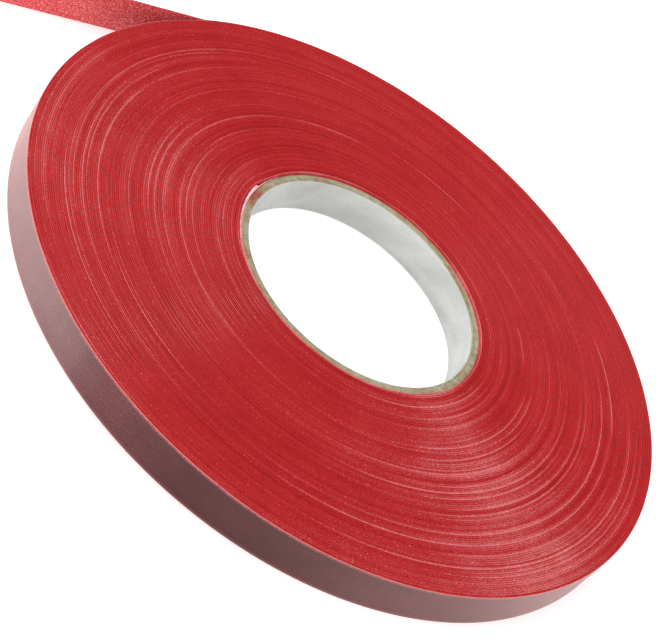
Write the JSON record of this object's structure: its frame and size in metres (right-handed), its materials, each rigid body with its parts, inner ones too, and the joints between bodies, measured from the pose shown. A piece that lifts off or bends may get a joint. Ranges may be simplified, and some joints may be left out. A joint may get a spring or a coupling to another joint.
{
  "type": "electrical tape roll",
  "caption": "Flat roll of narrow red rubber tape with a clear liner, wound on a thin paperboard core, with a free tail that peels off the outer turn.",
  "frame": {"origin": "centre of the core's bore, on the face that the roll rests on", "axes": "+Z along the core's axis, up from the rest face; the tail runs off along -X from the +Y side of the roll"},
  "size_m": [0.2197, 0.2103, 0.0129],
  "materials": {
    "lining_paper": "matt pale grey paper",
    "kraft_board": "cut edge of tan kraft board, mottled",
    "kraft_wrap": "tan kraft paper",
    "start_rubber": "pale pink cut edge with fine ribs",
    "wound_rubber": "red cut edges of the turns, with pale liner edges between them",
    "red_rubber": "red, finely speckled, satin",
    "clear_liner": "clear embossed film over red, seen as pinkish grey, semi-gloss"
  },
  "bodies": {
    "roll": {"core_lining": "lining_paper", "core_ply_1": "kraft_board", "core_ply_2": "kraft_board", "core_ply_3": "kraft_board", "core_ply_4": "kraft_board", "core_wrap": "kraft_wrap", "tape_start": "start_rubber", "wound_tape": "wound_rubber"},
    "outer_turn": {"outer_turn_rubber": "red_rubber", "outer_turn_liner": "clear_liner"},
    "tail": {"tail_rubber": "red_rubber", "tail_liner": "clear_liner"}
  },
  "joints": [
    {"name": "unwind", "type": "hinge", "parent": "roll", "child": "outer_turn", "pos_m": [0, 0, 0], "axis": [0, 0, 1], "continuous": true},
    {"name": "tail_peel", "type": "hinge", "parent": "outer_turn", "child": "tail", "pos_m": [-0.02459, 0.10242, 0], "axis": [0, 0, -1], "range_deg": [-13.5, 130]}
  ]
}
